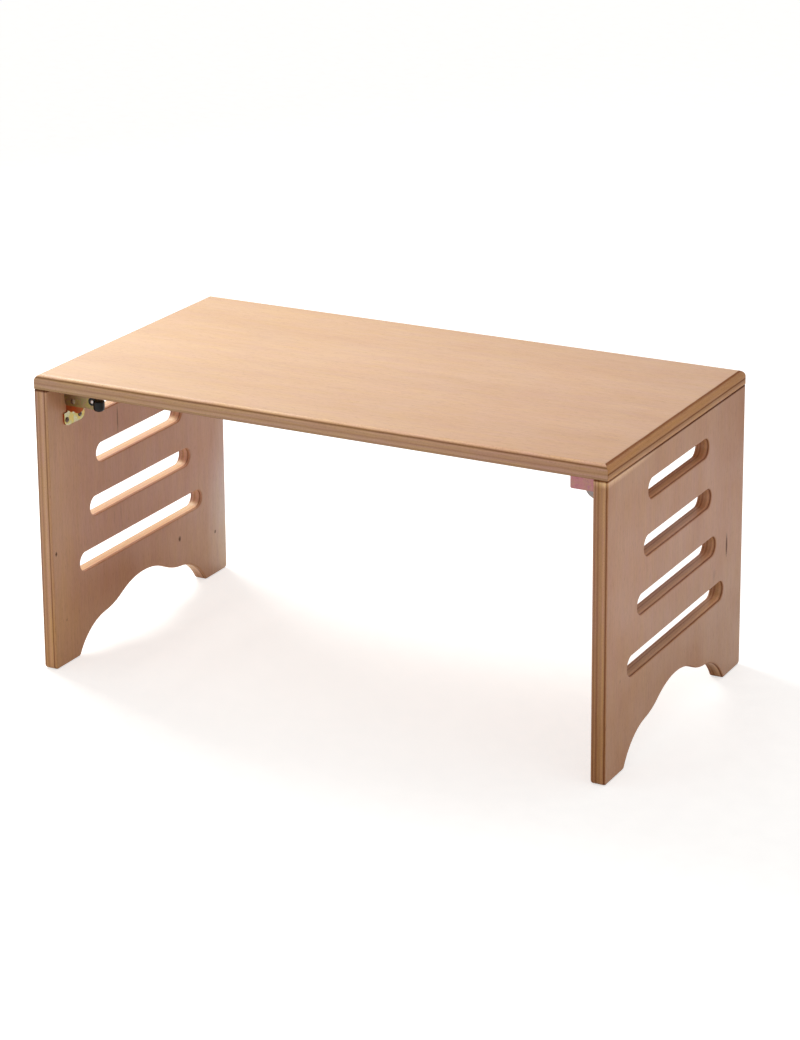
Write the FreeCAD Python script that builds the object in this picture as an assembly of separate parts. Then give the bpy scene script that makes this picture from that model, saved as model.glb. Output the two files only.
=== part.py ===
import FreeCAD, Part
import math
import os

# A plywood folding low table: a flat board on two slotted panel legs.
# Each leg hangs on two pressed-steel folding brackets, and two of the four brackets lock.
# X runs along the board, Y from the front edge to the back edge, Z up from the floor.
# The origin is on the floor, below the middle of the board.

# Driving dimensions of the table
table_length = 750.0
table_depth = 400.0
table_height = 375.0
board_thickness = 18.0
leg_thickness = 18.0

# Board edges
board_top_roundover = 8.0
board_bottom_roundover = 1.0
board_corner_radius = 1.2

# Leg panels: slots and arch follow shares of the panel's depth and of the table's height
leg_top_gap = 0.3
leg_edge_roundover = 2.5
leg_slot_roundover = 2.0
leg_top_roundover = 1.0
foot_corner_radius = 5.0
slot_height = 24.0
slot_length_shares = (0.44, 0.49, 0.575, 0.705)
first_slot_drop_share = 0.168
slot_pitch_share = 0.1726
arch_half_width_share = 0.368
arch_height_share = 0.1655
# one side of the arch, from its crown to the floor: shares of its half width and of its height
arch_crown_quarter_shares = (0.1806, 0.9493)
arch_crown_end_shares = (0.3507, 0.7956)
arch_hollow_middle_shares = (0.4712, 0.6789)
arch_hollow_end_shares = (0.5988, 0.6178)
arch_shoulder_middle_shares = (0.8317, 0.4225)

# Pressed plates: the one on the board, with its cheek beside the leg's inner face
plate = 2.0
plate_inner_bend = 1.0
bracket_inset = 37.5
table_cheek_gap = 0.5
table_cheek_length = 43.5
table_cheek_depth = 28.0
table_cheek_corner = 2.0
table_flange_depth = 22.0
table_flange_corner = 5.0

# Pressed plates: the one on the leg, with a round cheek about the pivot
leg_cheek_radius = 15.6
leg_root_share = 0.867
leg_flange_front = 4.5
leg_flange_back = 38.5
leg_flange_top = 10.0
leg_flange_bottom = 54.0
leg_lobe_radius = 7.5

# Pivot, placed from the leg's inner face and from the table cheek's lower edge
pivot_reach = 12.0
pivot_edge = 6.0
pivot_radius = 2.5
pivot_head_radius = 3.6
pivot_head_height = 0.9
washer_thickness = 0.4
washer_rim = 2.0
running_gap = 0.05
side_gap = 0.1

# Latch, placed from the table cheek's free end and from the pivot's height
latch_inset = 3.2
latch_rise = 4.4
latch_rivet_radius = 1.5
latch_head_radius = 2.4
latch_head_height = 0.9
latch_tail_radius = 3.2
latch_tail_height = 0.8
latch_boss_radius = 5.0
latch_tooth_lap = 3.1
latch_tooth_depth = 3.0
latch_tooth_gap = 0.3
latch_arm_half_width = 4.0
latch_travel_degrees = 12.0

# Thumb grip: a round knob moulded on the latch arm's tail, with a boss in front of the cheek
grip_reach = 8.8
grip_radius = 6.9
grip_top_rise = 2.4
grip_bottom_drop = 11.2
grip_top_roundover = 2.2
grip_bottom_roundover = 4.5
grip_gap = 0.3
grip_boss_thickness = 1.9
grip_rear_clearance = 2.0
grip_wall = 1.2
grip_web_high_degrees = 80.0
grip_web_low_degrees = 220.0

# Torsion spring on the latch rivet
spring_wire_radius = 0.4
spring_bore_gap = 0.7
spring_turn_gap = 0.45
spring_whole_turns = 2
spring_side_gap = 0.6
spring_foot_gap = 0.2
spring_foot_share = 0.5

# Wood screws
screw_head_radius = 3.3
screw_head_rim = 0.7
screw_head_dome = 1.0
screw_shank_radius = 1.5
screw_length = 12.0
screw_tip = 3.0
screw_tip_share = 0.25
screw_cross_width = 0.8
screw_cross_depth = 0.9
pilot_gap = 0.02
hole_gap = 0.25
table_screw_line = 13.0
table_screw_near_inset = 7.5
table_screw_far_inset = 8.5
leg_screw_front_inset = 5.5
leg_screw_back_inset = 10.0
leg_screw_low_inset = 7.3
leg_screw_high_inset = 10.0

# How far a cutting body runs past what it cuts, and how close two equal coordinates are
overrun = 5.0
same_place = 0.005

# Worked-out sizes of the boards
half_length = table_length / 2
half_depth = table_depth / 2
underside = table_height - board_thickness
inner_face = half_length - leg_thickness
leg_height = underside - leg_top_gap

# Worked-out sizes of a bracket. It is drawn in its own frame, as it stands at the front left:
# u runs from the leg's inner face to the middle of the table, v from the table cheek's front
# face to the back, and w up from the board's underside.
cheek_plane = half_depth - bracket_inset
cheek_end = table_cheek_gap + table_cheek_length
leg_cheek_front = plate + washer_thickness + side_gap
leg_cheek_back = leg_cheek_front + plate
pivot_drop = table_cheek_depth - pivot_edge
leg_root_bottom = pivot_drop + leg_root_share * leg_cheek_radius
latch_reach = cheek_end - latch_inset
latch_drop = pivot_drop - latch_rise
grip_boss_front = -grip_gap - grip_boss_thickness
spring_coil_radius = latch_rivet_radius + spring_bore_gap + spring_wire_radius
spring_pitch = 2 * spring_wire_radius + spring_turn_gap
spring_start = leg_cheek_back + spring_side_gap + spring_wire_radius
pilot_radius = screw_shank_radius + pilot_gap

Vec = FreeCAD.Vector


# Small shape makers

def side_prism(points, v_start, v_end):
    """A flat outline of (u, w) points, thickened along v."""
    outline = [Vec(u, v_start, w) for u, w in points]
    face = Part.Face(Part.makePolygon(outline + outline[:1]))
    return face.extrude(Vec(0, v_end - v_start, 0))


def side_disc(u, w, radius, v_start, v_end):
    """A round bar along v, centred on (u, w)."""
    return Part.makeCylinder(radius, v_end - v_start, Vec(u, v_start, w), Vec(0, 1, 0))


def pivot_disc(radius, v_start, v_end):
    return side_disc(pivot_reach, -pivot_drop, radius, v_start, v_end)


def latch_disc(radius, v_start, v_end):
    return side_disc(latch_reach, -latch_drop, radius, v_start, v_end)


def block(low, high):
    """A box between two corners."""
    return Part.makeBox(high[0] - low[0], high[1] - low[1], high[2] - low[2], Vec(*low))


def near(a, b):
    """True for two coordinates that mean the same place."""
    return abs(a - b) < same_place


def lies_at(box, x=None, y=None, z=None):
    """True where an edge's box lies wholly at each coordinate that is given."""
    given = ((x, box.XMin, box.XMax), (y, box.YMin, box.YMax), (z, box.ZMin, box.ZMax))
    return all(value is None or near(value, low) and near(value, high) for value, low, high in given)


def round_edges(shape, radius, test):
    """Rounds the edges for which test(edge's box) is true."""
    chosen = [edge for edge in shape.Edges if test(edge.BoundBox)]
    return shape.makeFillet(radius, chosen)


def cut_all(shape, tools):
    for tool in tools:
        shape = shape.cut(tool)
    return shape


def turned(u, w, centre_u, centre_w, degrees):
    """The point (u, w) turned about a centre, anticlockwise as seen from the front."""
    angle = math.radians(degrees)
    du = u - centre_u
    dw = w - centre_w
    new_u = centre_u + du * math.cos(angle) - dw * math.sin(angle)
    new_w = centre_w + du * math.sin(angle) + dw * math.cos(angle)
    return new_u, new_w


def polar(centre_u, centre_w, radius, degrees):
    """A point at a radius and direction from a centre."""
    angle = math.radians(degrees)
    return centre_u + radius * math.cos(angle), centre_w + radius * math.sin(angle)


def around_latch(radius, degrees):
    """A point at a radius and direction from the latch's rivet."""
    return polar(latch_reach, -latch_drop, radius, degrees)


def beyond(start, end, distance):
    """The point past end, on the line that comes from start."""
    run = math.hypot(end[0] - start[0], end[1] - start[1])
    along_u = (end[0] - start[0]) / run
    along_w = (end[1] - start[1]) / run
    return end[0] + along_u * distance, end[1] + along_w * distance


def placed(shape, side, end):
    """Moves a shape from the bracket's frame to one of the table's four corners."""
    moved = shape.copy()
    moved.translate(Vec(-inner_face, -cheek_plane, underside))
    if side > 0:
        moved = moved.mirror(Vec(0, 0, 0), Vec(1, 0, 0))
    if end > 0:
        moved = moved.mirror(Vec(0, 0, 0), Vec(0, 1, 0))
    return moved


def domed_head(seat, axis, radius, rim, rise):
    """A round head on its seat, with a straight rim and a shallow dome against the axis."""
    dome_radius = (radius ** 2 + rise ** 2) / (2 * rise)
    dome = Part.makeSphere(dome_radius, seat - axis * (rim + rise - dome_radius))
    return dome.common(Part.makeCylinder(radius, rim + rise, seat, axis * -1))


# Wood screws

def screw(head_seat, direction):
    """A domed cross-head screw: head_seat is under its head, direction points to its tip."""
    axis = Vec(*direction)
    seat = Vec(*head_seat)
    shank_end = screw_length - screw_tip
    shank = Part.makeCylinder(screw_shank_radius, shank_end, seat, axis)
    tip_radius = screw_shank_radius * screw_tip_share
    tip = Part.makeCone(screw_shank_radius, tip_radius, screw_tip, seat + axis * shank_end, axis)
    head = domed_head(seat, axis, screw_head_radius, screw_head_rim, screw_head_dome)
    crown = seat - axis * (screw_head_rim + screw_head_dome)
    on_crown = FreeCAD.Placement(crown, FreeCAD.Rotation(Vec(0, 0, 1), axis))
    for turn in (0, 90):
        arm = Part.makeBox(screw_head_radius, screw_cross_width, 2 * screw_cross_depth)
        arm.translate(Vec(-screw_head_radius / 2, -screw_cross_width / 2, -screw_cross_depth))
        arm.rotate(Vec(0, 0, 0), Vec(0, 0, 1), turn)
        arm.Placement = on_crown.multiply(arm.Placement)
        head = head.cut(arm)
    return head.fuse(shank).fuse(tip).removeSplitter()


table_screw_first = table_cheek_gap + table_screw_near_inset
table_screw_last = cheek_end - table_screw_far_inset
table_screw_seats = [
    (u, table_screw_line, -plate)
    for u in (table_screw_first, (table_screw_first + table_screw_last) / 2, table_screw_last)
]
leg_screw_front = leg_screw_front_inset - leg_flange_front
leg_screw_back = leg_flange_back - leg_screw_back_inset
leg_screw_low = leg_flange_bottom - leg_screw_low_inset
leg_screw_high = leg_flange_top + leg_screw_high_inset
leg_screw_seats = [
    (plate, leg_screw_front, -leg_screw_low),
    (plate, leg_screw_back, -leg_screw_low),
    (plate, leg_screw_back, -leg_screw_high),
]


def table_screws():
    return Part.makeCompound([screw(seat, (0, 0, 1)) for seat in table_screw_seats])


def leg_screws():
    return Part.makeCompound([screw(seat, (-1, 0, 0)) for seat in leg_screw_seats])


def screw_holes(seats, direction, radius):
    """Straight holes on the screws' axes, from below the heads to past the tips."""
    axis = Vec(*direction)
    length = screw_length + pilot_gap + plate
    return [Part.makeCylinder(radius, length, Vec(*seat) - axis * plate, axis) for seat in seats]


# Pressed plates

def table_bracket(locks):
    """The plate on the board: flange under the board, cheek hanging from its front edge."""
    cheek = block((table_cheek_gap, 0, -table_cheek_depth), (cheek_end, plate, 0))
    flange = block((table_cheek_gap, 0, -plate), (cheek_end, table_flange_depth, 0))
    bent = cheek.fuse(flange).removeSplitter()
    bent = round_edges(bent, plate + plate_inner_bend, lambda b: lies_at(b, y=0, z=0))
    bent = round_edges(bent, plate_inner_bend, lambda b: lies_at(b, y=plate, z=-plate))
    bent = round_edges(
        bent, table_flange_corner, lambda b: lies_at(b, y=table_flange_depth) and near(b.XMin, b.XMax)
    )
    bent = round_edges(
        bent, table_cheek_corner, lambda b: lies_at(b, x=cheek_end, z=-table_cheek_depth)
    )
    # the corner beside the leg is cut round the pivot, so that the leg's face passes it
    front = -overrun
    back = plate + overrun
    corner = block(
        (table_cheek_gap - overrun, front, -table_cheek_depth - overrun),
        (pivot_reach, back, -pivot_drop),
    )
    corner = corner.cut(pivot_disc(pivot_reach - table_cheek_gap, front - overrun, back + overrun))
    holes = [pivot_disc(pivot_radius, front, back)]
    if locks:
        holes.append(latch_disc(latch_rivet_radius, front, back))
    holes += screw_holes(table_screw_seats, (0, 0, 1), screw_shank_radius + hole_gap)
    return cut_all(bent, [corner] + holes)


def leg_bracket(locks):
    """The plate on the leg: flange with two lobes, and a round cheek about the pivot."""
    front = leg_cheek_front - overrun
    back = leg_cheek_back + overrun
    step = -leg_root_bottom - plate
    wide = block((0, -leg_flange_front, -leg_flange_bottom), (plate, leg_flange_back, step))
    wide = round_edges(
        wide, leg_lobe_radius, lambda b: lies_at(b, z=-leg_flange_bottom) and near(b.YMin, b.YMax)
    )
    narrow = block((0, leg_cheek_front, step - overrun), (plate, leg_flange_back, -leg_flange_top))
    narrow = round_edges(
        narrow, leg_lobe_radius, lambda b: lies_at(b, y=leg_flange_back, z=-leg_flange_top)
    )
    # the cheek's root ends inside the round rim, so that the latch's tooth can pass it
    root = block(
        (0, leg_cheek_front, -leg_root_bottom), (pivot_reach, leg_cheek_back, -leg_flange_top)
    )
    rim_u = pivot_reach - math.sqrt(leg_cheek_radius ** 2 - (leg_root_bottom - pivot_drop) ** 2)
    root = root.cut(block((rim_u, front, -leg_root_bottom - overrun), (pivot_reach, back, -pivot_drop)))
    # the round cheek stops inside the flange, before the leg's face
    round_cheek = pivot_disc(leg_cheek_radius, leg_cheek_front, leg_cheek_back)
    round_cheek = round_cheek.cut(
        block((-leg_cheek_radius, front, -2 * pivot_drop), (plate / 2, back, 0))
    )
    body = wide.fuse(narrow).fuse(root).fuse(round_cheek).removeSplitter()
    body = round_edges(
        body, plate_inner_bend,
        lambda b: lies_at(b, x=plate, y=leg_cheek_back) and near(b.ZMax, -leg_flange_top),
    )
    holes = [pivot_disc(pivot_radius + running_gap, front, back)]
    if locks:
        folded_notch = latch_notch()
        folded_notch.rotate(Vec(pivot_reach, 0, -pivot_drop), Vec(0, 1, 0), 90)
        holes += [latch_notch(), folded_notch]
    holes += screw_holes(leg_screw_seats, (-1, 0, 0), screw_shank_radius + hole_gap)
    return cut_all(body, holes)


# Rivets and washers

def rivet(u, w, radius, head_face, head_radius, head_height, tail_face, tail_radius, tail_height):
    """A rivet along v with a domed head in front and a flat closed head behind."""
    shank = side_disc(u, w, radius, head_face - head_height / 2, tail_face + tail_height / 2)
    head = domed_head(Vec(u, head_face, w), Vec(0, 1, 0), head_radius, 0, head_height)
    tail = side_disc(u, w, tail_radius, tail_face, tail_face + tail_height)
    return shank.fuse(head).fuse(tail).removeSplitter()


def pivot_rivet():
    return rivet(
        pivot_reach, -pivot_drop, pivot_radius,
        0, pivot_head_radius, pivot_head_height,
        leg_cheek_back + side_gap, pivot_head_radius, pivot_head_height,
    )


def latch_rivet():
    return rivet(
        latch_reach, -latch_drop, latch_rivet_radius,
        grip_boss_front - side_gap, latch_head_radius, latch_head_height,
        spring_end() + spring_side_gap, latch_tail_radius, latch_tail_height,
    )


def washer(u, w, radius):
    """A spacer ring on a rivet, between the table cheek and what turns behind it."""
    ring = side_disc(u, w, radius + washer_rim, plate, plate + washer_thickness)
    return ring.cut(side_disc(u, w, radius, plate - overrun, plate + overrun))


# Latch. Its stored place is the one where the tooth has just left the rim, and it turns
# clockwise, seen from the front, to drop into a notch. One notch holds the leg open, and
# the other, a quarter turn on, holds it folded.

tooth_rim_radius = leg_cheek_radius + latch_tooth_gap
latch_from_pivot = math.hypot(latch_reach - pivot_reach, latch_rise)
tooth_reach = latch_from_pivot - tooth_rim_radius + latch_tooth_lap
pivot_direction = math.degrees(math.atan2(-latch_rise, pivot_reach - latch_reach)) % 360


def tooth_direction():
    """The direction, from the latch's rivet, in which the tooth's end meets the rim's circle."""
    squares = tooth_reach ** 2 + latch_from_pivot ** 2 - tooth_rim_radius ** 2
    return pivot_direction + math.degrees(math.acos(squares / (2 * tooth_reach * latch_from_pivot)))


tooth_low_direction = tooth_direction() + math.degrees(latch_tooth_depth / tooth_reach)
tooth_low_corner = around_latch(tooth_reach, tooth_low_direction)
arm_low_start = around_latch(latch_arm_half_width, tooth_low_direction + 90)


def latch_arm():
    """The steel lever: tooth to the left of its rivet, tail to the right, inside the grip."""
    boss = latch_disc(latch_boss_radius, leg_cheek_front, leg_cheek_back)
    high_start = around_latch(latch_arm_half_width, pivot_direction - 90)
    high_end = around_latch(2 * tooth_reach, pivot_direction)
    low_end = beyond(arm_low_start, tooth_low_corner, tooth_reach)
    bar = side_prism([high_start, high_end, low_end, arm_low_start], leg_cheek_front, leg_cheek_back)
    bar = bar.common(latch_disc(tooth_reach, leg_cheek_front, leg_cheek_back))
    bar = bar.cut(pivot_disc(tooth_rim_radius, leg_cheek_front - overrun, leg_cheek_back + overrun))
    tail_top = grip_top_rise - latch_drop - grip_top_roundover
    tail_low = -latch_drop - grip_bottom_drop / 2
    tail_end = latch_reach + grip_reach + math.sqrt(grip_radius ** 2 - leg_cheek_back ** 2) - grip_wall
    # the tail starts past the rivet's centre, clear of the spring's foot
    tail_start = latch_reach + latch_arm_half_width / 2
    tail = block((tail_start, leg_cheek_front, tail_low), (tail_end, leg_cheek_back, tail_top))
    arm = boss.fuse(bar).fuse(tail).removeSplitter()
    return arm.cut(
        latch_disc(latch_rivet_radius + running_gap, leg_cheek_front - overrun, leg_cheek_back + overrun)
    )


def latch_notch():
    """The room that the tooth needs in the rim, from just clear of it to its locked place."""
    low = leg_cheek_front - overrun
    high = leg_cheek_back + overrun
    ring = latch_disc(tooth_reach + latch_tooth_gap, low, high)
    ring = ring.cut(latch_disc(latch_boss_radius, low - overrun, high + overrun))
    rim_u, rim_w = turned(pivot_reach, -pivot_drop, latch_reach, -latch_drop, -latch_travel_degrees)
    room = ring.cut(side_disc(rim_u, rim_w, leg_cheek_radius, low - overrun, high + overrun))
    return room.common(pivot_disc(tooth_rim_radius, low, high))


def thumb_grip():
    """The moulded grip: a boss on the cheek's front face, and a knob past the cheek's end."""
    axis_u = latch_reach + grip_reach
    top = grip_top_rise - latch_drop
    bottom = -latch_drop - grip_bottom_drop
    knob = Part.makeCylinder(grip_radius, top - bottom, Vec(axis_u, 0, bottom))
    knob = round_edges(knob, grip_top_roundover, lambda b: lies_at(b, z=top))
    knob = round_edges(knob, grip_bottom_roundover, lambda b: lies_at(b, z=bottom))
    # the part beside the cheek's end is only in front of it
    knob = knob.cut(block(
        (axis_u - 2 * grip_radius, -grip_gap, bottom - overrun),
        (cheek_end + grip_rear_clearance, 2 * grip_radius, top + overrun),
    ))
    # and it is hollowed round the head of the latch's rivet
    knob = knob.cut(latch_disc(latch_head_radius + grip_gap, -2 * grip_radius, grip_boss_front))
    boss = latch_disc(latch_boss_radius, grip_boss_front, -grip_gap)
    web_outline = [
        around_latch(latch_boss_radius, grip_web_high_degrees),
        (axis_u, top - grip_top_roundover),
        (axis_u, bottom + grip_bottom_roundover),
        around_latch(latch_boss_radius, grip_web_low_degrees),
    ]
    web = side_prism(web_outline, grip_boss_front, -grip_gap)
    grip = boss.fuse(web).fuse(knob).removeSplitter()
    bore = latch_disc(latch_rivet_radius + running_gap, -2 * grip_radius, 0)
    return grip.cut(bore).cut(latch_arm())


# Torsion spring

def spring_foot():
    """Where the long leg lies under the arm's lower edge, part way to the tooth."""
    along_u = tooth_low_corner[0] - arm_low_start[0]
    along_w = tooth_low_corner[1] - arm_low_start[1]
    below = (spring_wire_radius + spring_foot_gap) / math.hypot(along_u, along_w)
    u = arm_low_start[0] + spring_foot_share * along_u - below * along_w
    w = arm_low_start[1] + spring_foot_share * along_w + below * along_u
    return u, w


def spring_turns():
    """Turns from the upright leg to the point where the long leg leaves the coil."""
    foot_u, foot_w = spring_foot()
    distance = math.hypot(foot_u - latch_reach, foot_w + latch_drop)
    direction = math.degrees(math.atan2(foot_w + latch_drop, foot_u - latch_reach)) % 360
    leaving = direction + math.degrees(math.acos(spring_coil_radius / distance))
    return spring_whole_turns + (360 - leaving) / 360


def spring_end():
    """The v of the back of the last turn."""
    return spring_start + spring_pitch * spring_turns() + spring_wire_radius


def straight_wire(start, end):
    run = end - start
    return Part.makeCylinder(spring_wire_radius, run.Length, start, run)


def spring_coil(turns):
    """The turns about the rivet, starting beside it and winding to the back."""
    helix = Part.makeHelix(spring_pitch, spring_pitch * turns, spring_coil_radius)
    rise = Vec(0, 2 * math.pi * spring_coil_radius, spring_pitch)
    section = Part.Wire(Part.makeCircle(spring_wire_radius, Vec(spring_coil_radius, 0, 0), rise))
    coil = helix.makePipeShell([section], True, True)
    coil.rotate(Vec(0, 0, 0), Vec(1, 0, 0), -90)
    coil.translate(Vec(latch_reach, spring_start, -latch_drop))
    return coil


def latch_spring():
    """Wire wound on the latch's rivet: one leg rests on the flange, the other lifts the arm."""
    turns = spring_turns()
    slope = spring_pitch / (2 * math.pi * spring_coil_radius)
    coil_top = Vec(latch_reach + spring_coil_radius, spring_start, -latch_drop)
    upright_top = coil_top + Vec(0, -slope, 1) * (latch_drop - plate - spring_wire_radius)
    leaving_u, leaving_w = around_latch(spring_coil_radius, -360 * turns)
    back = spring_start + spring_pitch * turns
    coil_foot = Vec(leaving_u, back, leaving_w)
    foot_u, foot_w = spring_foot()
    long_run = math.hypot(foot_u - leaving_u, foot_w - leaving_w)
    bend = Vec(foot_u, back + slope * long_run, foot_w)
    pieces = [
        straight_wire(coil_top, upright_top),
        Part.makeSphere(spring_wire_radius, upright_top),
        straight_wire(coil_foot, bend),
        Part.makeSphere(spring_wire_radius, bend),
        straight_wire(bend, Vec(foot_u, leg_cheek_front, foot_w)),
    ]
    spring = spring_coil(turns)
    for piece in pieces:
        spring = spring.fuse(piece)
    return spring


# Boards

def tabletop():
    board = block((-half_length, -half_depth, underside), (half_length, half_depth, table_height))
    board = round_edges(board, board_top_roundover, lambda b: lies_at(b, z=table_height))
    board = round_edges(board, board_corner_radius, lambda b: b.ZLength > board_bottom_roundover)
    return round_edges(board, board_bottom_roundover, lambda b: lies_at(b, z=underside))


def arch_face():
    """The arch's outline in the panel's plane, from one foot over the crown to the other."""
    half_width = arch_half_width_share * table_depth
    height = arch_height_share * table_height
    x = -half_length - overrun

    def point(shares, sign):
        return Vec(x, sign * shares[0] * half_width, shares[1] * height)

    crown = Vec(x, 0, height)
    feet = []
    edges = []
    for sign in (-1, 1):
        crown_end = point(arch_crown_end_shares, sign)
        hollow_end = point(arch_hollow_end_shares, sign)
        foot = Vec(x, sign * half_width, 0)
        feet.append(foot)
        edges.append(Part.Arc(crown, point(arch_crown_quarter_shares, sign), crown_end).toShape())
        edges.append(Part.Arc(crown_end, point(arch_hollow_middle_shares, sign), hollow_end).toShape())
        edges.append(Part.Arc(hollow_end, point(arch_shoulder_middle_shares, sign), foot).toShape())
    edges.append(Part.LineSegment(feet[0], feet[1]).toShape())
    return Part.Face(Part.Wire(Part.__sortEdges__(edges)))


def slot(reach, height):
    """A slot through the left panel with round ends, whose end centres are at reach."""
    radius = slot_height / 2
    middle = block((-half_length, -reach, height - radius), (-inner_face, reach, height + radius))
    for end in (-1, 1):
        centre = Vec(-half_length, end * reach, height)
        middle = middle.fuse(Part.makeCylinder(radius, leg_thickness, centre, Vec(1, 0, 0)))
    return middle.removeSplitter()


def leg_panel():
    """The left leg: slots with round ends, an arch between its feet and rounded edges."""
    panel = block((-half_length, -half_depth, 0), (-inner_face, half_depth, leg_height))
    panel = panel.cut(arch_face().extrude(Vec(leg_thickness + 2 * overrun, 0, 0)))

    def on_a_face(b):
        return lies_at(b, x=-half_length) or lies_at(b, x=-inner_face)

    panel = round_edges(panel, foot_corner_radius, lambda b: lies_at(b, z=0) and near(b.YMin, b.YMax))
    panel = round_edges(panel, leg_edge_roundover, lambda b: on_a_face(b) and not lies_at(b, z=leg_height))
    panel = round_edges(
        panel, leg_top_roundover, lambda b: lies_at(b, z=leg_height) and near(b.XMin, b.XMax)
    )
    for row, length_share in enumerate(slot_length_shares):
        height = table_height * (1 - first_slot_drop_share - row * slot_pitch_share)
        panel = panel.cut(slot((length_share * table_depth - slot_height) / 2, height))
        panel = round_edges(
            panel, leg_slot_roundover,
            lambda b: on_a_face(b) and b.ZMin > height - slot_height and b.ZMax < height + slot_height,
        )
    return panel


# The assembly: every piece of the table under its own name

corners = (("front_left", -1, -1), ("back_left", -1, 1), ("front_right", 1, -1), ("back_right", 1, 1))
locking_corners = ("front_left", "back_right")


def boards():
    """The tabletop and the two legs, with the pilot holes of the screws at every corner."""
    board = tabletop()
    left = leg_panel()
    right = left.mirror(Vec(0, 0, 0), Vec(1, 0, 0))
    for name, side, end in corners:
        up_holes = screw_holes(table_screw_seats, (0, 0, 1), pilot_radius)
        side_holes = screw_holes(leg_screw_seats, (-1, 0, 0), pilot_radius)
        board = cut_all(board, [placed(hole, side, end) for hole in up_holes])
        holes = [placed(hole, side, end) for hole in side_holes]
        if side < 0:
            left = cut_all(left, holes)
        else:
            right = cut_all(right, holes)
    return {"tabletop": board, "left_leg_panel": left, "right_leg_panel": right}


def bracket_pieces(locks):
    """The pieces of one folding bracket, in its own frame."""
    pieces = {
        "table_bracket": table_bracket(locks),
        "leg_bracket": leg_bracket(locks),
        "pivot_rivet": pivot_rivet(),
        "pivot_washer": washer(pivot_reach, -pivot_drop, pivot_radius),
        "table_screws": table_screws(),
        "leg_screws": leg_screws(),
    }
    if locks:
        pieces["latch_arm"] = latch_arm()
        pieces["thumb_grip"] = thumb_grip()
        pieces["latch_rivet"] = latch_rivet()
        pieces["latch_washer"] = washer(latch_reach, -latch_drop, latch_rivet_radius)
        pieces["latch_spring"] = latch_spring()
    return pieces


def build():
    parts = boards()
    for name, side, end in corners:
        for piece, shape in bracket_pieces(name in locking_corners).items():
            parts[name + "_" + piece] = placed(shape, side, end)
    return parts


def main():
    os.makedirs("parts", exist_ok=True)
    for name, shape in build().items():
        shape.exportStep("parts/" + name + ".step")
        state = "valid" if shape.isValid() else "NOT VALID"
        print(name, state, "solids", len(shape.Solids), "volume", round(shape.Volume, 2))


main()
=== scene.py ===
import math

import bpy
from mathutils import Matrix, Vector


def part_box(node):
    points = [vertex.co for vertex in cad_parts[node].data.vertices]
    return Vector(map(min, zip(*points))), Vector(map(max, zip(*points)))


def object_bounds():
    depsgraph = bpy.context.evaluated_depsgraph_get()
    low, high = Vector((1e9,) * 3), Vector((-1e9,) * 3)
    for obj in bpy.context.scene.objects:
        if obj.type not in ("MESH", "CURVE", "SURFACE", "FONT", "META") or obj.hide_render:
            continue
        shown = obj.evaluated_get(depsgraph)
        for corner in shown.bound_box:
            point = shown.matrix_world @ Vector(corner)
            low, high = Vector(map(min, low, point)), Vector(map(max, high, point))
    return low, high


# The looks of a folding plywood table: materials for each piece, soft light, floor and camera.

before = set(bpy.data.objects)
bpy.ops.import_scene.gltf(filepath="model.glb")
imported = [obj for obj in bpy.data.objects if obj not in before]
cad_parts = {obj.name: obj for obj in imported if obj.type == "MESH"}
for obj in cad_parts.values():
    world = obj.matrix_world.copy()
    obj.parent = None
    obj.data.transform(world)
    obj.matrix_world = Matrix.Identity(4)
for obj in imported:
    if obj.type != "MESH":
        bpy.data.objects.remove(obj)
cad_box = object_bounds()

MM = 0.001

# Places read from the frame, in millimetres as the materials use them
high_corner = cad_box[1]
half_length = high_corner.x / MM
half_depth = high_corner.y / MM
board_top = high_corner.z / MM
board_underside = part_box("tabletop")[0].z / MM
leg_low, leg_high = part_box("left_leg_panel")
leg_top = leg_high.z / MM
leg_inner_face = half_length - (leg_high.x - leg_low.x) / MM


class Graph:
    """Short calls for the nodes of one material or world."""

    def __init__(self, tree):
        self.tree = tree
        self.tree.nodes.clear()

    def node(self, kind, inputs=(), **settings):
        made = self.tree.nodes.new(kind)
        for name, value in settings.items():
            setattr(made, name, value)
        for key, value in dict(inputs).items():
            if isinstance(value, bpy.types.NodeSocket):
                self.tree.links.new(value, made.inputs[key])
            else:
                made.inputs[key].default_value = value
        return made

    def math(self, operation, a, b=0.0, clamp=False):
        made = self.node("ShaderNodeMath", {0: a, 1: b}, operation=operation, use_clamp=clamp)
        return made.outputs[0]

    def scaled(self, vector, factors):
        made = self.node("ShaderNodeVectorMath", {0: vector, 1: factors}, operation="MULTIPLY")
        return made.outputs[0]

    def offset(self, vector, shift):
        made = self.node("ShaderNodeVectorMath", {0: vector, 1: shift}, operation="ADD")
        return made.outputs[0]

    def noise(self, vector, scale=1.0, detail=2.0, roughness=0.5):
        inputs = {"Vector": vector, "Scale": scale, "Detail": detail, "Roughness": roughness}
        return self.node("ShaderNodeTexNoise", inputs).outputs["Fac"]

    def spread(self, value, low, high, to_low=0.0, to_high=1.0):
        """Maps a value from one range to another, held at its ends."""
        inputs = {0: value, 1: low, 2: high, 3: to_low, 4: to_high}
        return self.node("ShaderNodeMapRange", inputs).outputs[0]

    def ramp(self, value, stops):
        made = self.node("ShaderNodeValToRGB", {0: value})
        elements = made.color_ramp.elements
        while len(elements) < len(stops):
            elements.new(1.0)
        for element, (place, colour) in zip(elements, stops):
            element.position = place
            element.color = colour
        return made.outputs["Color"]

    def mix(self, factor, a, b, blend="MIX"):
        made = self.node("ShaderNodeMix", data_type="RGBA", blend_type=blend)
        for index, value in ((0, factor), (6, a), (7, b)):
            if isinstance(value, bpy.types.NodeSocket):
                self.tree.links.new(value, made.inputs[index])
            else:
                made.inputs[index].default_value = value
        return made.outputs[2]


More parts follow.
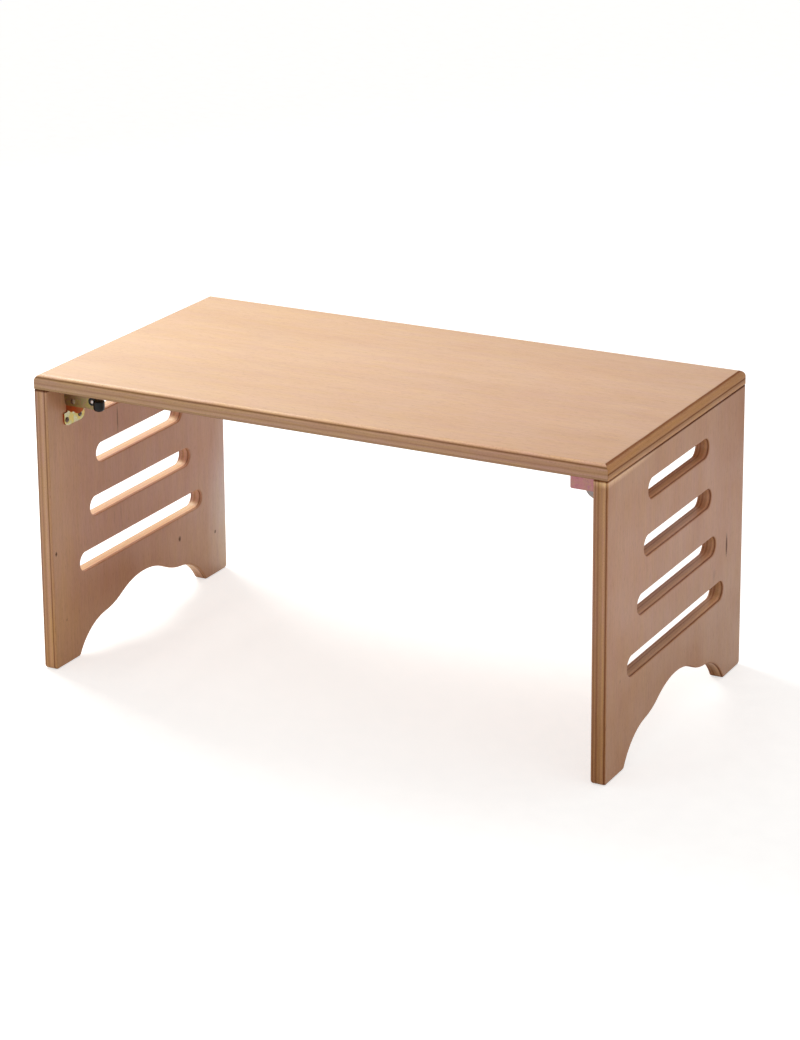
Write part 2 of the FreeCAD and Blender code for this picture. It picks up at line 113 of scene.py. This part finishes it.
def linear(red, green, blue):
    """A colour that is given as it shows on a screen, from 0 to 255."""
    shares = [channel / 255 for channel in (red, green, blue)]
    bent = [s / 12.92 if s <= 0.04045 else ((s + 0.055) / 1.055) ** 2.4 for s in shares]
    return (*bent, 1.0)


def opaque(tint):
    return (*tint, 1.0)


def by_axis(chosen, on_axis, off_axis):
    """Three factors, one for the chosen axis and one for the other two."""
    return tuple(on_axis if axis == chosen else off_axis for axis in "XYZ")


def material_graph(name):
    material = bpy.data.materials.new(name)
    material.use_nodes = True
    return material, Graph(material.node_tree)


def surface_place(graph):
    """The coordinates' sockets, and the place on the object in millimetres."""
    coordinates = graph.node("ShaderNodeTexCoord").outputs
    return coordinates, graph.scaled(coordinates["Object"], (1 / MM, 1 / MM, 1 / MM))


# Plywood

def wood_tone(graph, place, grain, light, dark, fleck):
    """Colour of a veneer: broad bands, fine streaks and short flecks along its grain axis."""
    bands = graph.noise(graph.scaled(place, by_axis(grain, 0.0022, 0.021)), detail=3.0)
    streaks = graph.noise(graph.scaled(place, by_axis(grain, 0.020, 0.40)), detail=6.0, roughness=0.66)
    fibres = graph.noise(graph.scaled(place, by_axis(grain, 0.11, 3.1)), detail=3.0, roughness=0.6)
    dashes = graph.noise(graph.scaled(place, by_axis(grain, 0.13, 1.9)), detail=1.0)
    tone = graph.math(
        "ADD", graph.spread(bands, 0.3, 0.7, -0.05, 0.45), graph.spread(streaks, 0.3, 0.7, -0.1, 0.5)
    )
    tone = graph.math("ADD", tone, graph.spread(fibres, 0.3, 0.7, 0.0, 0.2))
    colour = graph.mix(tone, dark, light)
    colour = graph.mix(1.0, colour, hue_drift(graph, place, by_axis(grain, 0.018, 0.075)), "MULTIPLY")
    dash = graph.spread(dashes, 0.60, 0.72, 0.0, 0.5)
    return graph.mix(dash, colour, fleck), streaks, fibres, dash


def hue_drift(graph, place, factors, reach=1.0):
    """A faint tint that wanders between yellow and pink."""
    wander = graph.noise(graph.scaled(place, factors), detail=4.0, roughness=0.65)
    yellow = (1 + 0.012 * reach, 1 + 0.018 * reach, 1 - 0.055 * reach, 1.0)
    pink = (1 - 0.008 * reach, 1 - 0.022 * reach, 1 + 0.050 * reach, 1.0)
    return graph.mix(graph.spread(wander, 0.34, 0.66), yellow, pink)


def edge_tone(graph, place, thin, light, dark, fleck):
    """Colour of the cut layers: lines that follow the layers, and open pores."""
    lines = graph.noise(graph.scaled(place, by_axis(thin, 1.5, 0.03)), detail=4.0, roughness=0.6)
    specks = graph.noise(graph.scaled(place, by_axis(thin, 2.4, 0.45)), detail=3.0, roughness=0.7)
    colour = graph.mix(graph.spread(lines, 0.32, 0.68), dark, light)
    drift = hue_drift(graph, place, by_axis(thin, 0.35, 0.028), reach=2.2)
    colour = graph.mix(1.0, colour, drift, "MULTIPLY")
    return graph.mix(graph.spread(specks, 0.50, 0.72, 0.0, 0.8), colour, fleck)


# Tints of the layers by share of the depth, as multipliers of the wood's own colour.
# The board's along its front, and along its ends
# the dark stop near the bottom of the front is painted shade along the underside, where the board meets the
# legs
board_front_plies_and_shade = (
    (0.000, (1.00, 1.00, 1.00)), (0.014, (1.26, 1.28, 1.32)), (0.060, (1.36, 1.40, 1.44)),
    (0.105, (1.18, 1.14, 1.08)), (0.145, (0.70, 0.59, 0.47)), (0.170, (0.50, 0.39, 0.28)),
    (0.205, (0.52, 0.43, 0.33)), (0.240, (0.88, 0.81, 0.78)), (0.290, (1.15, 1.14, 1.22)),
    (0.340, (1.01, 0.99, 1.02)), (0.420, (0.97, 0.94, 0.96)), (0.470, (0.98, 0.95, 0.98)),
    (0.530, (0.92, 0.85, 0.86)), (0.565, (0.80, 0.73, 0.72)), (0.600, (0.84, 0.78, 0.79)),
    (0.680, (1.01, 1.01, 1.10)), (0.760, (1.04, 1.03, 1.15)), (0.820, (1.00, 1.00, 1.10)),
    (0.850, (0.78, 0.73, 0.70)), (0.880, (0.78, 0.75, 0.73)), (0.930, (0.88, 0.86, 0.84)),
    (0.975, (0.52, 0.43, 0.35)), (1.000, (0.80, 0.76, 0.72)),
)
# the ends are darker and warmer all through than the front, and darkest at the top and bottom rounding:
# painted shade of the ends, besides the glue line near the middle
board_end_plies_and_shade = (
    (0.000, (1.00, 1.00, 1.00)), (0.012, (0.44, 0.25, 0.11)), (0.045, (0.50, 0.31, 0.15)),
    (0.080, (0.76, 0.54, 0.30)), (0.120, (0.93, 0.72, 0.40)), (0.200, (0.93, 0.72, 0.39)),
    (0.280, (0.92, 0.71, 0.36)), (0.400, (0.98, 0.76, 0.38)), (0.475, (0.92, 0.68, 0.33)),
    (0.520, (0.72, 0.50, 0.24)), (0.560, (0.42, 0.27, 0.12)), (0.590, (0.40, 0.26, 0.11)),
    (0.620, (0.58, 0.40, 0.21)), (0.670, (0.80, 0.62, 0.38)), (0.750, (0.84, 0.69, 0.46)),
    (0.830, (1.04, 0.90, 0.66)), (0.890, (1.14, 0.98, 0.71)), (0.940, (1.12, 0.94, 0.68)),
    (0.970, (0.96, 0.78, 0.54)), (0.990, (0.62, 0.45, 0.28)), (1.000, (0.58, 0.42, 0.25)),
)
# The legs', from the outer face inward
right_leg_plies = (
    (0.000, (1.00, 1.00, 1.00)), (0.025, (0.94, 0.88, 0.78)), (0.055, (0.52, 0.42, 0.33)),
    (0.100, (0.48, 0.38, 0.29)), (0.135, (0.86, 0.85, 0.78)), (0.200, (1.12, 1.20, 1.10)),
    (0.260, (1.14, 1.22, 1.12)), (0.330, (0.94, 0.98, 0.86)), (0.420, (0.88, 0.91, 0.80)),
    (0.500, (0.92, 0.95, 0.82)), (0.550, (0.80, 0.78, 0.68)), (0.600, (0.66, 0.59, 0.50)),
    (0.640, (0.66, 0.60, 0.52)), (0.700, (0.84, 0.84, 0.76)), (0.765, (0.92, 0.93, 0.86)),
    (0.800, (0.70, 0.65, 0.58)), (0.830, (0.60, 0.54, 0.47)), (0.870, (0.86, 0.86, 0.84)),
    (1.000, (1.00, 1.00, 1.00)),
)
left_leg_plies = (
    (0.000, (1.00, 1.00, 1.00)), (0.050, (0.86, 0.84, 0.84)), (0.100, (0.60, 0.54, 0.52)),
    (0.150, (0.60, 0.54, 0.52)), (0.200, (0.90, 0.87, 0.90)), (0.280, (0.98, 0.95, 0.92)),
    (0.340, (0.80, 0.74, 0.70)), (0.420, (0.80, 0.72, 0.66)), (0.480, (0.98, 0.95, 0.88)),
    (0.590, (1.10, 1.12, 1.14)), (0.680, (1.06, 1.06, 1.06)), (0.755, (0.96, 0.94, 0.90)),
    (0.800, (0.54, 0.44, 0.36)), (0.850, (0.52, 0.42, 0.34)), (0.885, (0.88, 0.83, 0.74)),
    (0.950, (1.06, 1.04, 0.98)), (1.000, (1.00, 1.00, 1.00)),
)
# On the upward and downward edges, which the slots' sills show: lighter than the wood, painted light on the
# sills, with one darker glue line
left_leg_sills_and_light = (
    (0.000, (1.00, 1.00, 1.00)), (0.080, (1.10, 1.20, 1.10)), (0.130, (1.02, 1.12, 1.00)),
    (0.200, (1.25, 1.56, 1.42)), (0.360, (1.20, 1.48, 1.30)), (0.500, (1.18, 1.40, 1.18)),
    (0.560, (1.08, 1.18, 0.98)), (0.620, (1.24, 1.38, 1.16)), (0.765, (1.22, 1.36, 1.16)),
    (0.800, (0.64, 0.56, 0.46)), (0.845, (0.62, 0.52, 0.42)), (0.885, (0.95, 0.92, 0.82)),
    (1.000, (1.00, 1.00, 1.00)),
)


def plywood(name, grain, cross, thin, depth_of, plies, end_plies, light, dark, fleck,
            tints=(), painted_light_patches=(), marks=()):
    """Lacquered plywood: face veneers along one axis, and layered edges between them."""
    material, graph = material_graph(name)
    coordinates, place = surface_place(graph)
    sway = graph.noise(place, scale=0.012, detail=2.0)
    shift = graph.spread(sway, 0.0, 1.0, -4.5, 4.5)
    axes = dict(zip("XYZ", graph.node("ShaderNodeSeparateXYZ", {0: place}).outputs))
    bent = {axis: graph.math("ADD", value, shift) if axis == cross else value for axis, value in axes.items()}
    waved = graph.node("ShaderNodeCombineXYZ", bent).outputs[0]
    face, streaks, fibres, dash = wood_tone(graph, waved, grain, light, dark, fleck)
    for centre, size, strength in marks:
        face = knot(graph, place, face, centre, size, strength)
    # the layers between the veneers, seen on the edges
    depth = depth_of(graph, axes)
    wobble = graph.noise(graph.scaled(place, (0.03, 0.03, 0.03)), detail=1.0)
    wavy_depth = graph.math("ADD", depth, graph.spread(wobble, 0.3, 0.7, -0.006, 0.006))
    tone = graph.ramp(wavy_depth, [(share, opaque(tint)) for share, tint in plies])
    # the ends, and on the legs the up- and down-facing edges, take their own tints, which hold painted light
    # and shade besides glue lines
    if end_plies:
        normal = graph.node("ShaderNodeSeparateXYZ", {0: coordinates["Normal"]}).outputs
        sides = [graph.math("ABSOLUTE", normal[axis]) for axis in (grain, cross)]
        at_end = graph.spread(graph.math("SUBTRACT", sides[0], sides[1]), -0.25, 0.25)
        end_tone = graph.ramp(wavy_depth, [(share, opaque(tint)) for share, tint in end_plies])
        tone = graph.mix(at_end, tone, end_tone)
    layer = edge_tone(graph, place, thin, light, dark, fleck)
    layer = graph.mix(1.0, layer, tone, "MULTIPLY")
    inner = graph.math(
        "MULTIPLY", graph.spread(depth, 0.004, 0.012), graph.spread(depth, 0.988, 0.996, 1.0, 0.0)
    )
    colour = graph.mix(inner, face, layer)
    for axis, stops in tints:
        low, high = stops[0][0], stops[-1][0]
        along = graph.spread(axes[axis], low, high)
        shares = [((spot - low) / (high - low), opaque(tint)) for spot, tint in stops]
        colour = graph.mix(1.0, colour, graph.ramp(along, shares), "MULTIPLY")
    # soft patches of painted light and shade
    for centre, size, tint in painted_light_patches:
        colour = painted_light_patch(graph, place, colour, centre, size, tint)
    # lacquer: satin, a little uneven, duller over open grain and on the cut edges
    gloss = graph.noise(graph.scaled(place, (0.02, 0.02, 0.02)), detail=3.0)
    rough = graph.math("ADD", graph.spread(gloss, 0.3, 0.7, 0.40, 0.52), graph.math("MULTIPLY", inner, 0.10))
    grainy = graph.math("ADD", graph.math("MULTIPLY", fibres, 0.6), graph.math("MULTIPLY", streaks, 0.4))
    grainy = graph.math("SUBTRACT", grainy, graph.math("MULTIPLY", dash, 0.5))
    lines = graph.node("ShaderNodeRGBToBW", {0: tone}).outputs[0]
    height = graph.math("ADD", grainy, graph.math("MULTIPLY", graph.math("MULTIPLY", lines, inner), 1.5))
    bump = graph.node("ShaderNodeBump", {"Height": height, "Strength": 0.35, "Distance": 0.00012})
    # dark places in the colour take little of the lacquer's shine: glue lines, pores and the painted shade
    # alike
    level = graph.node("ShaderNodeRGBToBW", {0: colour}).outputs[0]
    shader = graph.node("ShaderNodeBsdfPrincipled", {
        "Base Color": colour,
        "Roughness": rough,
        "Specular IOR Level": graph.spread(level, 0.10, 0.30, 0.04, 0.35),
        "Coat Weight": graph.spread(level, 0.10, 0.30, 0.0, 0.12),
        "Coat Roughness": 0.28,
        "Normal": bump.outputs[0],
    })
    graph.node("ShaderNodeOutputMaterial", {0: shader.outputs[0]})
    return material


def distance_share(graph, place, centre, size):
    """Distance from a point, in millimetres, as a share of an ellipsoid's size."""
    moved = graph.offset(place, tuple(-value for value in centre))
    squeezed = graph.scaled(moved, tuple(1 / value for value in size))
    return graph.node("ShaderNodeVectorMath", {0: squeezed}, operation="LENGTH").outputs["Value"]


def painted_light_patch(graph, place, colour, centre, size, tint):
    """A broad soft patch about a point: painted light where the tint is above one, painted shade where it is
    below.
    """
    distance = distance_share(graph, place, centre, size)
    amount = graph.spread(distance, 0.15, 1.0, 1.0, 0.0)
    return graph.mix(amount, colour, graph.mix(1.0, colour, opaque(tint), "MULTIPLY"))


def knot(graph, place, colour, centre, size, strength):
    """A small dark mark in the veneer: a soft ellipsoid about a point, in millimetres."""
    distance = distance_share(graph, place, centre, size)
    rough_edge = graph.noise(place, scale=0.8, detail=3.0)
    distance = graph.math("ADD", distance, graph.math("SUBTRACT", rough_edge, 0.5))
    amount = graph.spread(distance, 0.5, 1.1, strength, 0.0)
    return graph.mix(amount, colour, linear(92, 58, 44))


def board_depth(graph, axes):
    """Share of the board's thickness below its top face."""
    return graph.spread(axes["Z"], board_top, board_underside)


def leg_depth(graph, axes):
    """Share of a leg's thickness inward from its outer face."""
    away = graph.math("ABSOLUTE", axes["X"])
    return graph.spread(away, half_length, leg_inner_face)


board_wood = plywood(
    "board_plywood", "X", "Y", "Z", board_depth, board_front_plies_and_shade, board_end_plies_and_shade,
    light=linear(226, 185, 149), dark=linear(209, 164, 127), fleck=linear(172, 124, 90),
    tints=(
        ("X", ((-half_length, (0.96, 0.99, 0.95)), (-220, (0.99, 1.01, 0.96)), (-60, (1.02, 1.03, 1.01)),
               (80, (1.03, 1.03, 1.02)), (220, (1.01, 0.98, 0.97)), (330, (0.97, 0.93, 0.92)),
               (half_length, (0.95, 0.91, 0.90)))),
        ("Y", ((-half_depth, (1.01, 1.00, 0.97)), (0, (1.0, 1.0, 1.0)), (110, (0.97, 0.97, 0.96)),
               (half_depth, (0.91, 0.90, 0.87)))),
    ),
)
left_leg_wood = plywood(
    "left_leg_plywood", "Z", "Y", "X", leg_depth, left_leg_plies, left_leg_sills_and_light,
    light=linear(212, 165, 142), dark=linear(194, 144, 121), fleck=linear(160, 112, 88),
    tints=(
        # darker and yellower towards the foot, and a dark band just under the board: painted shade
        ("Z", ((0, (0.88, 0.78, 0.56)), (50, (0.95, 0.88, 0.66)), (100, (0.98, 0.92, 0.78)),
               (150, (1.03, 1.00, 0.94)), (240, (1.06, 1.06, 1.00)), (leg_top - 2.4, (1.05, 1.04, 1.0)),
               (leg_top - 1.3, (0.34, 0.24, 0.18)))),
        ("Y", ((-half_depth, (1.15, 1.24, 1.10)), (-165, (1.13, 1.18, 1.05)),
               (-125, (1.04, 1.04, 1.01)), (0, (0.98, 0.97, 0.97)), (90, (1.01, 1.02, 1.01)),
               (half_depth, (1.03, 1.08, 1.10)))),
    ),
    # painted light: the back edge and the lower back paler; painted shade: low towards the front darker
    painted_light_patches=(
        ((-leg_inner_face, 215, 60), (30, 64, 195), (1.46, 2.15, 3.00)),
        ((-leg_inner_face, 150, 90), (30, 90, 90), (1.05, 1.17, 1.32)),
        ((-leg_inner_face, -70, 78), (30, 110, 50), (0.90, 0.82, 0.72)),
    ),
    marks=(
        ((-leg_inner_face, -192, 148), (4, 2.4, 3.0), 0.9),
        ((-leg_inner_face, -175, 57), (4, 1.3, 2.0), 0.45),
        ((-leg_inner_face, 85, 77), (4, 3.2, 4.2), 0.85),
        ((-leg_inner_face, 172, 59), (4, 2.2, 2.6), 0.85),
        ((-leg_inner_face, -50, 280), (4, 1.8, 18), 0.6),
        ((-leg_inner_face, -64, 156), (4, 0.9, 10), 0.25),
        ((-leg_inner_face, -49, 157), (4, 1.0, 12), 0.28),
    ),
)
right_leg_wood = plywood(
    "right_leg_plywood", "Z", "Y", "X", leg_depth, right_leg_plies, (),
    light=linear(222, 171, 140), dark=linear(204, 151, 120), fleck=linear(168, 116, 86),
    tints=(
        # darker and yellower towards the foot, and a dark band just under the board: painted shade
        ("Z", ((0, (0.78, 0.67, 0.46)), (70, (0.82, 0.73, 0.53)), (120, (0.91, 0.85, 0.71)),
               (170, (0.98, 0.94, 0.88)), (240, (1.02, 0.98, 0.94)), (300, (1.01, 0.97, 0.90)),
               (leg_top - 2.0, (1.0, 0.96, 0.84)), (leg_top - 0.9, (0.32, 0.20, 0.11)))),
        ("Y", ((-half_depth, (1.02, 1.01, 0.99)), (-60, (1.0, 0.99, 0.98)),
               (60, (0.96, 0.94, 0.94)), (135, (0.96, 0.96, 0.98)),
               (half_depth, (0.95, 0.97, 1.0)))),
    ),
    # painted shade on the back top and in the back arch; painted light on the lower back and along the top of
    # the front edge
    painted_light_patches=(
        ((half_length, 215, 340), (30, 150, 190), (0.79, 0.66, 0.54)),
        ((half_length, 190, 60), (30, 110, 110), (1.06, 1.17, 1.42)),
        ((half_length, -200, 356), (30, 150, 8), (1.85, 2.3, 2.5)),
        ((361, 165, 25), (12, 55, 50), (0.62, 0.52, 0.40)),
    ),
    marks=(
        ((half_length, 149, 170), (4, 2.8, 16), 0.85),
        ((half_length, 111, 145), (4, 3.5, 9), 0.20),
        ((half_length, -161, 111), (4, 1.2, 2.5), 0.4),
    ),
)


# Metal and plastic

def plated(name, stops, patch_scale, roughness, brushed=0.0, cheek=None, hollow_shade=0.0):
    """Plated steel: a tint that drifts over the surface, fine scratches and an uneven gloss."""
    material, graph = material_graph(name)
    coordinates, place = surface_place(graph)
    drift = graph.noise(place, scale=patch_scale, detail=2.5, roughness=0.55)
    colour = graph.ramp(graph.spread(drift, 0.30, 0.70), stops)
    blotch = graph.noise(place, scale=0.9, detail=3.0)
    colour = graph.mix(graph.spread(blotch, 0.5, 0.8, 0.0, 0.3), colour, linear(84, 70, 52))
    if cheek:
        # the upright cheek, which faces along the table's depth, takes an orange tint: a painted reflection
        # of the wood beside it
        facing = graph.node("ShaderNodeSeparateXYZ", {0: coordinates["Normal"]}).outputs["Y"]
        on_cheek = graph.spread(graph.math("ABSOLUTE", facing), 0.4, 0.8)
        colour = graph.mix(on_cheek, colour, graph.mix(graph.spread(drift, 0.35, 0.65), *cheek))
    if hollow_shade:
        # painted shade in the recesses: darker where little open space is around
        shade = graph.node("ShaderNodeAmbientOcclusion", {"Distance": 0.0012}, samples=8, only_local=True)
        open_share = graph.spread(shade.outputs["AO"], 0.35, 0.95, 1.0 - hollow_shade, 1.0)
        colour = graph.mix(open_share, linear(26, 22, 18), colour)
    scratches = graph.noise(graph.scaled(place, (0.12, 4.0, 4.0)), detail=2.0)
    rough = graph.spread(blotch, 0.3, 0.7, roughness - 0.07, roughness + 0.09)
    grain = graph.noise(place, scale=5.0, detail=2.0)
    height = graph.math("ADD", grain, graph.math("MULTIPLY", scratches, brushed))
    bump = graph.node("ShaderNodeBump", {"Height": height, "Strength": 0.25, "Distance": 0.00004})
    shader = graph.node("ShaderNodeBsdfPrincipled", {
        "Base Color": colour,
        "Roughness": rough,
        "Metallic": 1.0,
        "Normal": bump.outputs[0],
    })
    graph.node("ShaderNodeOutputMaterial", {0: shader.outputs[0]})
    return material


def moulded(name, colour, dust):
    """Smooth black moulding: a fine pebble, faint dust and gloss that wears at random."""
    material, graph = material_graph(name)
    place = surface_place(graph)[1]
    pebble = graph.noise(place, scale=4.0, detail=2.0)
    smears = graph.noise(place, scale=0.35, detail=4.0, roughness=0.65)
    tint = graph.mix(graph.spread(smears, 0.5, 0.8, 0.0, 0.35), colour, dust)
    rough = graph.spread(smears, 0.3, 0.7, 0.34, 0.50)
    bump = graph.node("ShaderNodeBump", {"Height": pebble, "Strength": 0.3, "Distance": 0.00005})
    shader = graph.node("ShaderNodeBsdfPrincipled", {
        "Base Color": tint,
        "Roughness": rough,
        "Specular IOR Level": 0.3,
        "Normal": bump.outputs[0],
    })
    graph.node("ShaderNodeOutputMaterial", {0: shader.outputs[0]})
    return material


olive_zinc = plated(
    "olive_zinc",
    [(0.0, linear(142, 116, 80)), (0.35, linear(150, 138, 82)), (0.6, linear(150, 120, 96)),
     (1.0, linear(136, 134, 84))],
    patch_scale=0.14, roughness=0.38, brushed=0.6,
)
yellow_zinc = plated(
    "yellow_zinc",
    [(0.0, linear(190, 160, 104)), (0.30, linear(184, 164, 88)), (0.55, linear(172, 164, 112)),
     (0.8, linear(180, 178, 150)), (1.0, linear(196, 150, 124))],
    patch_scale=0.12, roughness=0.36, brushed=0.5,
    # orange on the faces that look along the table's depth: painted reflection of the wood
    cheek=(linear(206, 104, 56), linear(176, 104, 66)),
)
pink_zinc = plated(
    "pink_zinc",
    [(0.0, linear(166, 110, 118)), (0.45, linear(173, 121, 122)), (0.75, linear(168, 126, 114)),
     (1.0, linear(162, 110, 126))],
    patch_scale=0.09, roughness=0.40, brushed=0.5,
)
green_zinc = plated(
    "green_zinc",
    [(0.0, linear(124, 114, 118)), (0.5, linear(142, 132, 130)), (1.0, linear(158, 142, 126))],
    patch_scale=0.10, roughness=0.38, brushed=0.5,
)
dull_zinc = plated(
    "dull_zinc",
    [(0.0, linear(108, 88, 62)), (0.5, linear(124, 106, 82)), (1.0, linear(132, 112, 96))],
    patch_scale=0.25, roughness=0.42, brushed=0.2,
)
bright_zinc = plated(
    "bright_zinc",
    [(0.0, linear(176, 172, 168)), (0.5, linear(204, 200, 198)), (1.0, linear(184, 172, 168))],
    patch_scale=0.25, roughness=0.32, brushed=0.2,
)
screw_zinc = plated(
    "screw_zinc",
    [(0.0, linear(94, 78, 70)), (0.5, linear(122, 106, 100)), (1.0, linear(88, 76, 70))],
    # the screws' recesses darkened: painted shade
    patch_scale=0.25, roughness=0.34, brushed=0.2, hollow_shade=1.0,
)
drawn_wire = plated(
    "drawn_wire",
    [(0.0, linear(128, 126, 128)), (1.0, linear(160, 158, 158))],
    patch_scale=0.5, roughness=0.32, brushed=0.8,
)
black_plastic = moulded("black_plastic", colour=linear(9, 9, 10), dust=linear(34, 33, 33))

bracket_finish = {
    "front_left_table_bracket": olive_zinc,
    "front_left_leg_bracket": yellow_zinc,
    "front_right_table_bracket": pink_zinc,
    "front_right_leg_bracket": green_zinc,
    "back_left_table_bracket": yellow_zinc,
    "back_left_leg_bracket": olive_zinc,
    "back_right_table_bracket": olive_zinc,
    "back_right_leg_bracket": yellow_zinc,
}
finish_by_ending = {
    "latch_arm": yellow_zinc,
    "thumb_grip": black_plastic,
    "pivot_rivet": dull_zinc,
    "latch_rivet": bright_zinc,
    "washer": bright_zinc,
    "screws": screw_zinc,
    "spring": drawn_wire,
}


def finish_for(name):
    if name == "tabletop":
        return board_wood
    if name == "left_leg_panel":
        return left_leg_wood
    if name == "right_leg_panel":
        return right_leg_wood
    if name in bracket_finish:
        return bracket_finish[name]
    endings = [ending for ending in finish_by_ending if name.endswith(ending)]
    return finish_by_ending[endings[0]]


for name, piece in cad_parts.items():
    piece.data.materials.clear()
    piece.data.materials.append(finish_for(name))


# Floor, world and lamp

floor_reach = 30.0
# keeps the floor's face apart from the feet
floor_drop = 0.0004


def seen_share(graph):
    """1 for rays that show a surface as a picture, and 0 for those that carry light to others."""
    path = graph.node("ShaderNodeLightPath").outputs
    shown = graph.math("ADD", path["Is Camera Ray"], path["Is Glossy Ray"])
    return graph.math("ADD", shown, path["Is Transmission Ray"], clamp=True)


def add_floor():
    """A large pale floor: white to the camera where it is lit, with the table's soft shadow."""
    mesh = bpy.data.meshes.new("floor")
    corners = [(x * floor_reach, y * floor_reach, 0) for x, y in ((-1, -1), (1, -1), (1, 1), (-1, 1))]
    mesh.from_pydata(corners, [], [(0, 1, 2, 3)])
    floor = bpy.data.objects.new("floor", mesh)
    bpy.context.scene.collection.objects.link(floor)
    floor.location.z = -floor_drop
    material, graph = material_graph("pale_floor")
    object_place = graph.node("ShaderNodeTexCoord").outputs["Object"]
    speckle = graph.noise(object_place, scale=40.0, detail=3.0)
    colour = graph.ramp(speckle, [(0.3, linear(218, 217, 215)), (0.7, linear(224, 223, 221))])
    matte = graph.node("ShaderNodeBsdfDiffuse", {"Color": colour})
    lift = graph.node("ShaderNodeEmission", {"Color": (1, 1, 1, 1), "Strength": 0.62})
    added = graph.node("ShaderNodeAddShader", {0: matte.outputs[0], 1: lift.outputs[0]})
    seen = seen_share(graph)
    mixed = graph.node("ShaderNodeMixShader", {0: seen, 1: matte.outputs[0], 2: added.outputs[0]})
    graph.node("ShaderNodeOutputMaterial", {0: mixed.outputs[0]})
    mesh.materials.append(material)


def add_world(strength, colour):
    """Even studio light all round, which the camera sees as plain white."""
    world = bpy.data.worlds.new("studio")
    bpy.context.scene.world = world
    world.use_nodes = True
    graph = Graph(world.node_tree)
    lighting = graph.node("ShaderNodeBackground", {"Color": colour, "Strength": strength})
    white = graph.node("ShaderNodeBackground", {"Color": (1, 1, 1, 1), "Strength": 1.0})
    seen = seen_share(graph)
    mixed = graph.node("ShaderNodeMixShader", {0: seen, 1: lighting.outputs[0], 2: white.outputs[0]})
    graph.node("ShaderNodeOutputWorld", {0: mixed.outputs[0]})


def add_lamp(name, place, target, size, power, colour):
    lamp = bpy.data.lights.new(name, "AREA")
    lamp.shape = "SQUARE"
    lamp.size = size
    lamp.energy = power
    lamp.color = colour
    holder = bpy.data.objects.new(name, lamp)
    bpy.context.scene.collection.objects.link(holder)
    holder.location = place
    holder.rotation_euler = (Vector(target) - Vector(place)).to_track_quat("-Z", "Y").to_euler()


add_floor()
add_world(strength=0.54, colour=(1.0, 0.985, 0.97, 1.0))
add_lamp(
    "key", place=(-1.35, 0.55, 1.45), target=(-0.15, 0.05, 0.30),
    size=0.9, power=30.0, colour=(1.0, 0.98, 0.95),
)


# Camera, at the photograph's place

photo_width, photo_height = 800, 1040
focal_pixels = 2998.228
camera_place = Vector((1.626882, -3.008551, 1.418961))
camera_azimuth = 0.491754
camera_elevation = 0.257351
camera_roll = -0.007524
# the lens axis meets the picture this far down from its top edge
axis_row = 255.349


def add_camera():
    backward = Vector((
        math.sin(camera_azimuth) * math.cos(camera_elevation),
        -math.cos(camera_azimuth) * math.cos(camera_elevation),
        math.sin(camera_elevation),
    ))
    level_right = backward.cross(Vector((0, 0, 1))) * -1
    level_right.normalize()
    level_up = backward.cross(level_right)
    right = level_right * math.cos(camera_roll) + level_up * math.sin(camera_roll)
    up = level_up * math.cos(camera_roll) - level_right * math.sin(camera_roll)
    camera = bpy.data.cameras.new("camera")
    camera.lens = camera.sensor_width * focal_pixels / max(photo_width, photo_height)
    camera.shift_y = (axis_row - photo_height / 2) / max(photo_width, photo_height)
    camera.clip_start = 0.1
    camera.clip_end = 60.0
    holder = bpy.data.objects.new("camera", camera)
    bpy.context.scene.collection.objects.link(holder)
    turn = Matrix((right, up, backward)).transposed().to_4x4()
    holder.matrix_world = Matrix.Translation(camera_place) @ turn
    bpy.context.scene.camera = holder


add_camera()
bpy.context.scene.view_settings.view_transform = "Standard"
